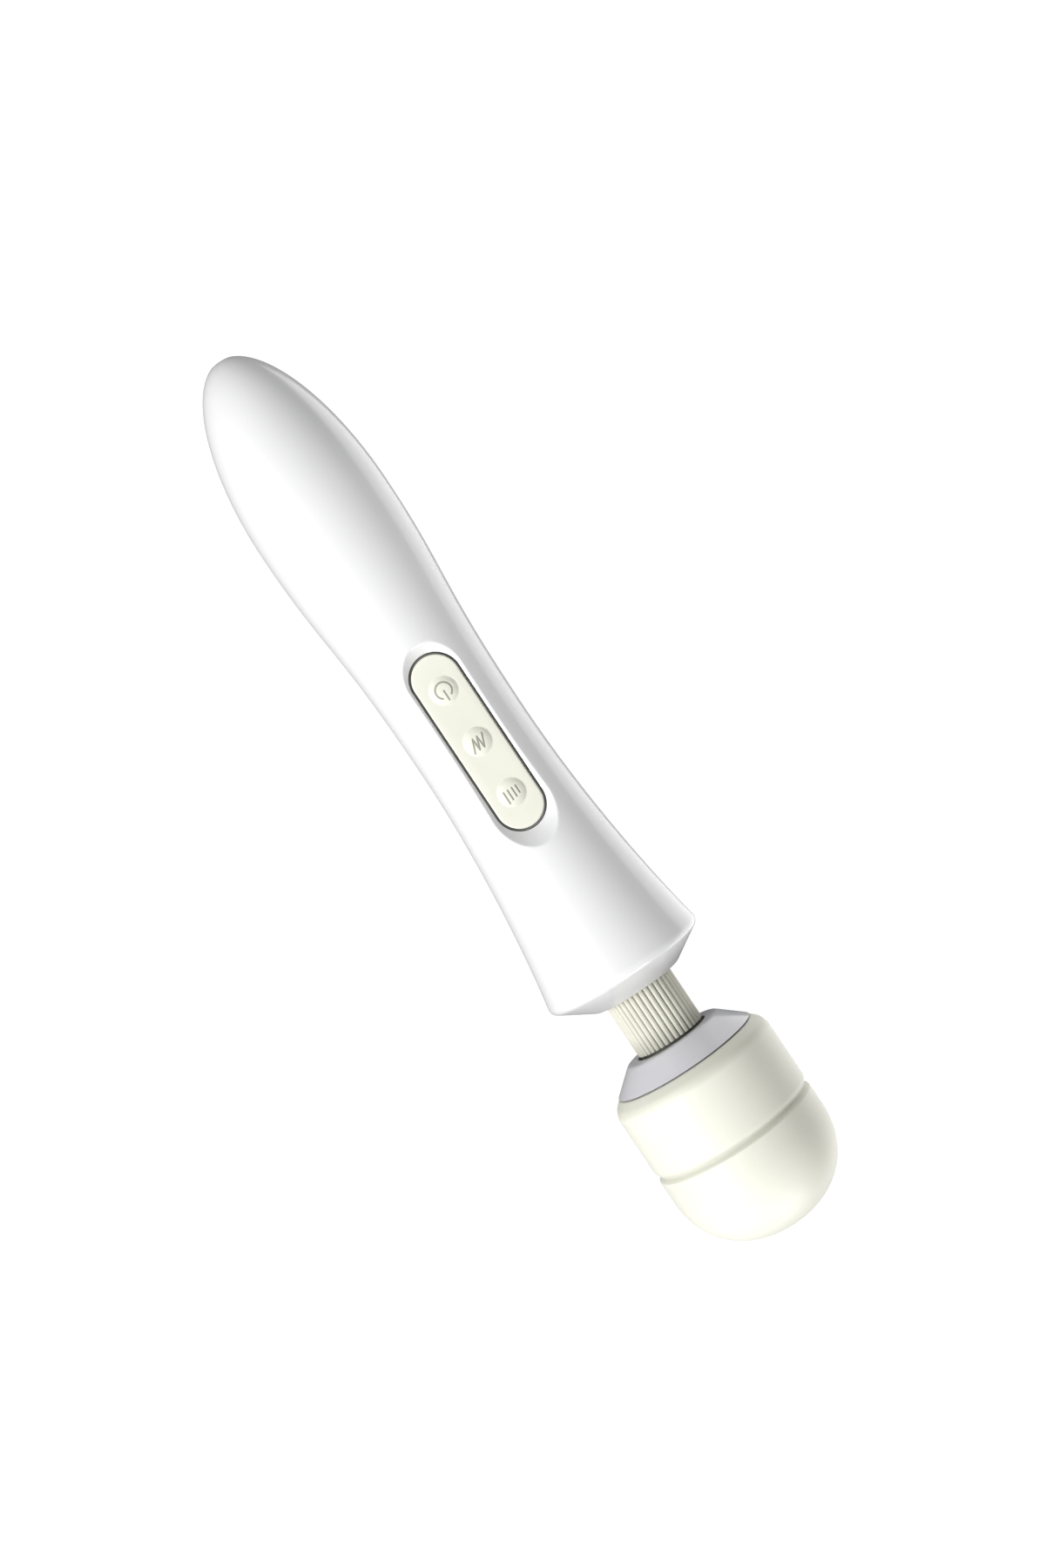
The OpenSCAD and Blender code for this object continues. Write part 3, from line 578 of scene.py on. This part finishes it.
# ---------------------------------------------------------------- neck
NECK_RADIUS = 12.6
SLEEVE_WALL = 2.4
NECK_PLACES = (248.0, 261.6, 275.1)   # the sleeve's ends, and the middle where its halves meet
FLUTES = 38
FLUTE_DEPTH = 0.85
FLUTE_ROUNDNESS = 0.6
FLUTE_SHADE = (0.35, FLUTE_DEPTH + 0.2)   # depths where painted shade in a flute starts, and is full
INSERT_RADIUS = NECK_RADIUS - 0.6     # of the sleeve's smooth end inside the collar
UNDERCUT = (271.35, 272.4, 1.7)       # a narrow waist in the sleeve beside the collar: start, end, depth
UNDERCUT_LEAN = 0.15
COLLAR_SHADE = (263.0, 272.0, 0.45)   # painted shade on the sleeve towards the collar: none until, full at, share
SPRING_RADIUS, SPRING_WIRE, SPRING_TURNS = 8, 1, 5    # the coil's radius, the wire's, and turns
SPRING_END_GAP = 0.1
SPRING_STEPS = 60                     # in each half
CABLE_ENDS = (244.7, 281.5)
CABLE_RADIUS = 2
GUIDE_RADIUS, GUIDE_CLEARANCE = 6.6, 0.2
GUIDE_REACH = 3                       # each way from the middle of the neck


def flute(u, radius, angle):
    if radius < NECK_RADIUS - 0.5:
        return radius
    share = (angle / (2 * math.pi) * FLUTES) % 1 * 2 - 1
    return radius - FLUTE_DEPTH * (1 - max(0, 1 - share * share) ** FLUTE_ROUNDNESS)


def bend(piece):
    """Bakes half of the neck's placement into its mesh: the first between the handle and the middle, the
    second to the head.
    """
    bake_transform(piece)


def steps_between(start, end):
    """Even steps of about 1 mm."""
    count = max(1, round(end - start))
    return [start + (end - start) * i / count for i in range(count + 1)]


def make_sleeve(side, word, start, end):
    outline = [(u, NECK_RADIUS) for u in steps_between(start, min(end, UNDERCUT[0]))]
    if side:
        thin = NECK_RADIUS - UNDERCUT[2]
        outline += [(UNDERCUT[0] + UNDERCUT_LEAN, thin), (UNDERCUT[1], thin),
                    (UNDERCUT[1] + UNDERCUT_LEAN, INSERT_RADIUS), (end, INSERT_RADIUS)]
    outline += [(u, NECK_RADIUS - SLEEVE_WALL) for u in steps_between(start, end)[::-1]]
    sleeve = make_piece("sleeve_" + word, *lathe(outline, FLUTES * 12, reshape=flute), "neck_silicone",
                        "neck_sleeve")
    points = np.array([vertex.co[:] for vertex in sleeve.data.vertices])
    # painted shade: darker in the flutes' hollows and towards the collar
    sunk = NECK_RADIUS - np.hypot(points[:, 1], points[:, 2] - AXIS_Z) / MM
    shade = COLLAR_SHADE[2] * smoothstep((points[:, 0] - cad_low.x) / MM, *COLLAR_SHADE[:2])
    add_print_and_shade(sleeve, np.minimum(1, shade + smoothstep(sunk, *FLUTE_SHADE)))
    bend(sleeve)


def make_cable(side, word, start, end):
    start, end = (CABLE_ENDS[0], end) if side == 0 else (start, CABLE_ENDS[1])
    outline = [(start, 0)] + [(u, CABLE_RADIUS) for u in steps_between(start, end)] + [(end, 0)]
    bend(make_piece("cable_" + word, *lathe(outline, 32), "black_insulation", "neck_cable"))


def make_guide(side, word, start, end):
    start, end = (end - GUIDE_REACH, end) if side == 0 else (start, start + GUIDE_REACH)
    outline = [(u, GUIDE_RADIUS) for u in steps_between(start, end)]
    outline += [(u, CABLE_RADIUS + GUIDE_CLEARANCE) for u in steps_between(start, end)[::-1]]
    bend(make_piece("guide_" + word, *lathe(outline, 64), "nylon", "cable_guide"))


def make_spring(side, word):
    rings = []
    wire_start = NECK_PLACES[0] + SPRING_WIRE + SPRING_END_GAP
    rise = NECK_PLACES[2] - SPRING_WIRE - SPRING_END_GAP - wire_start
    for i in range(SPRING_STEPS + 1):
        share = (SPRING_STEPS * side + i) / (2 * SPRING_STEPS)
        angle = 2 * math.pi * SPRING_TURNS * share
        ring = []
        for k in range(12):
            around = 2 * math.pi * k / 12
            radius = SPRING_RADIUS + SPRING_WIRE * math.cos(around)
            ring.append((wire_start + rise * share + SPRING_WIRE * math.sin(around),
                         radius * math.cos(angle), radius * math.sin(angle)))
        rings.append(ring)
    bend(make_piece("spring_" + word, *loft(rings), "steel", "neck_spring"))


for half, half_name in enumerate(("near_handle", "near_head")):
    make_sleeve(half, half_name, *NECK_PLACES[half:half + 2])
    make_cable(half, half_name, *NECK_PLACES[half:half + 2])
    make_guide(half, half_name, *NECK_PLACES[half:half + 2])
    make_spring(half, half_name)

# ---------------------------------------------------------------- head
HEAD_RADIUS = 30
CAP_INNER_RADIUS = 25.2
DOME_START, DOME_LENGTH, DOME_POWER = 317.8, 27.8, 2.2
COLLAR_FACE, COLLAR_BACK = 272.0, 279.5
COLLAR_CORNERS = [                    # from the tail, radius, how much of each side is rounded off
    (COLLAR_FACE, 13.3, 0.3), (COLLAR_FACE, 17.5, 1.0), (COLLAR_BACK, 26.3, 0.35),
    (COLLAR_BACK, 23.0, 0), (284.9, 23.0, 0.3), (284.9, 21.0, 0.3), (COLLAR_BACK + 1, 21.0, 0),
    (277.2, 17.0, 0), (275.2, 17.0, 0), (275.2, 13.3, 0)]
CAP_CORNERS = [                       # the same, from the rim inside over the chamfer and the groove
    (280.0, CAP_INNER_RADIUS, 0.1), (280.0, 26.4, 0.35), (282.5, 29.0, 0.8), (285.4, HEAD_RADIUS, 0.5),
    (306.6, HEAD_RADIUS, 0.8), (308.8, 28.75, 0.5), (310.15, HEAD_RADIUS, 0.35),
    (DOME_START - 1, HEAD_RADIUS, 0)]
GROOVE_SHADE = (309.2, 0.4, 1.3, 0.6)     # painted shade along the groove: middle, full within, none past, share
EDGE_SHADE = (283.2, 285.6, 0.4)          # painted shade in a band at the cap's edge: full until, gone at, share


def dome(radius, steps):
    length = DOME_LENGTH - HEAD_RADIUS + radius
    return [(DOME_START + length * math.sin(a) ** (2 / DOME_POWER), radius * math.cos(a) ** (2 / DOME_POWER))
            for a in (math.pi / 2 * i / steps for i in range(steps))] + [(DOME_START + length, 0)]


def make_collar():
    collar = make_piece("collar", *lathe(rounded(COLLAR_CORNERS), 192), "white_shell", "head_collar")
    # painted shade: the whole collar is painted in the shell's darker grey for the shade it sits in
    add_print_and_shade(collar, [1.0] * len(collar.data.vertices))
    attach(collar, "head")


def make_cap():
    cap = rounded(CAP_CORNERS, 6) + dome(HEAD_RADIUS, 60) + dome(CAP_INNER_RADIUS, 24)[::-1]
    cap = make_piece("cap_skin", *lathe(cap, 192), "head_silicone", "head_cap")
    # painted shade in the groove and in a band at the cap's edge
    along = (np.array([vertex.co[0] for vertex in cap.data.vertices]) - cad_low.x) / MM
    groove = GROOVE_SHADE[3] * (1 - smoothstep(np.abs(along - GROOVE_SHADE[0]), *GROOVE_SHADE[1:3]))
    add_print_and_shade(cap, groove + EDGE_SHADE[2] * (1 - smoothstep(along, *EDGE_SHADE[:2])))
    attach(cap, "head")


make_collar()
make_cap()

# ---------------------------------------------------------------- stage
REST_DEPTH = 0.2                  # of the flats underneath, in mm
FLOOR_SLOPE = (LIP_RADIUS - BULGE[1]) / (LIP_U - BULGE[0])
FLOOR_HALF = 4
FLOOR_GLOW = 1.1
FLOOR_SHADOW = 0.12               # share of the lit table in what the camera sees
FLOOR_GREY = 0.3
SKY_LIGHT = (0.62, 0.16)          # from beside the wand and from beyond its ends
KEY_ANGLE = math.radians(-49)     # from straight up towards +Y
KEY_DISTANCE = 1.2
KEY_SIZE = (1.1, 0.36)
KEY_POWER = 14.3
HEAD_LIGHT_PLACE = (0.9, 0.08, 0.12)
HEAD_LIGHT_TARGET = (0.17, 0, AXIS_Z)
HEAD_LIGHT_SIZE = (0.3, 0.3)
HEAD_LIGHT_POWER = 3.0
CARD_PLACE = (0.03, 0.19)
CARD_LIFT = 0.006                 # over the table
CARD_SIZE = (0.46, 0.3)
CARD_POWER = 0.58


def area_light(name, place, target, size, power):
    data = bpy.data.lights.new(name, "AREA")
    data.shape, data.size, data.size_y = "RECTANGLE", *size
    data.energy = power
    light = bpy.data.objects.new(name, data)
    bpy.context.scene.collection.objects.link(light)
    light.location = place
    light.rotation_euler = (Vector(target) - Vector(place)).to_track_quat("-Z", "Y").to_euler()
    return light


def floor_height(x):
    """The table touches the wand under the lip and the bulge."""
    return AXIS_Z - (LIP_RADIUS - REST_DEPTH) * MM - FLOOR_SLOPE * (x - to_frame(LIP_U, 0, 0)[0])


def make_floor():
    """A white table. The camera sees it lit from below, with a faint shadow, and to the wand it is grey."""
    mesh = bpy.data.meshes.new("floor")
    corners = [(FLOOR_HALF * x, FLOOR_HALF * y) for x, y in ((-1, -1), (1, -1), (1, 1), (-1, 1))]
    mesh.from_pydata([(x, y, floor_height(x)) for x, y in corners], [], [(0, 1, 2, 3)])
    floor = bpy.data.objects.new("floor", mesh)
    bpy.context.scene.collection.objects.link(floor)
    material = bpy.data.materials.new("floor_paint")
    material.use_nodes = True
    tree = material.node_tree
    seen = add_node(tree, "LightPath").outputs["Is Camera Ray"]
    grain = add_node(tree, "TexNoise", {"Scale": 3.0}).outputs[0]
    pale = mix_colours(tree, grain, (0.86, 0.86, 0.86, 1), (0.9, 0.9, 0.9, 1))
    glow = add_node(tree, "Emission", {"Strength": FLOOR_GLOW}).outputs[0]
    lit = add_node(tree, "BsdfDiffuse", {"Color": pale}).outputs[0]
    table = add_node(tree, "MixShader", {0: FLOOR_SHADOW, 1: glow, 2: lit}).outputs[0]
    grey = add_node(tree, "BsdfDiffuse", {"Color": (*[FLOOR_GREY] * 3, 1)}).outputs[0]
    both = add_node(tree, "MixShader", {0: seen, 1: grey, 2: table}).outputs[0]
    tree.links.new(both, tree.nodes["Material Output"].inputs["Surface"])
    mesh.materials.append(material)


def make_lights():
    """A long light over the wand's -Y side, one beyond the head, and a card on the table at its +Y side."""
    place = (0, KEY_DISTANCE * math.sin(KEY_ANGLE), AXIS_Z + KEY_DISTANCE * math.cos(KEY_ANGLE))
    area_light("key", place, (0, 0, AXIS_Z), KEY_SIZE, KEY_POWER)
    area_light("head_light", HEAD_LIGHT_PLACE, HEAD_LIGHT_TARGET, HEAD_LIGHT_SIZE, HEAD_LIGHT_POWER)
    x, y = CARD_PLACE
    card = area_light("card", (x, y, floor_height(x) + CARD_LIFT), (x, y, 1), CARD_SIZE, CARD_POWER)
    card.rotation_euler[1] += math.atan(FLOOR_SLOPE)
    card.visible_camera = False


def make_world():
    """An even white studio, full white to the camera and dimmer as a light."""
    world = bpy.data.worlds.new("world")
    bpy.context.scene.world = world
    world.use_nodes = True
    tree = world.node_tree
    seen = add_node(tree, "LightPath").outputs["Is Camera Ray"]
    direction = add_node(tree, "TexCoord").outputs["Generated"]
    along = add_node(tree, "SeparateXYZ", {"Vector": direction}).outputs[0]
    endways = add_node(tree, "Math", {0: along}, operation="ABSOLUTE").outputs[0]
    sky = rescale(tree, endways, 0, 1, *SKY_LIGHT)
    strength = add_node(tree, "Mix", {0: seen, 2: sky, 3: 1.0}, data_type="FLOAT").outputs[0]
    tree.links.new(strength, tree.nodes["Background"].inputs["Strength"])
    tree.nodes["Background"].inputs["Color"].default_value = (1, 1, 1, 1)


make_floor()
make_world()
make_lights()
view = bpy.context.scene.view_settings
view.view_transform, view.look, view.exposure, view.gamma = "Standard", "None", 0, 1
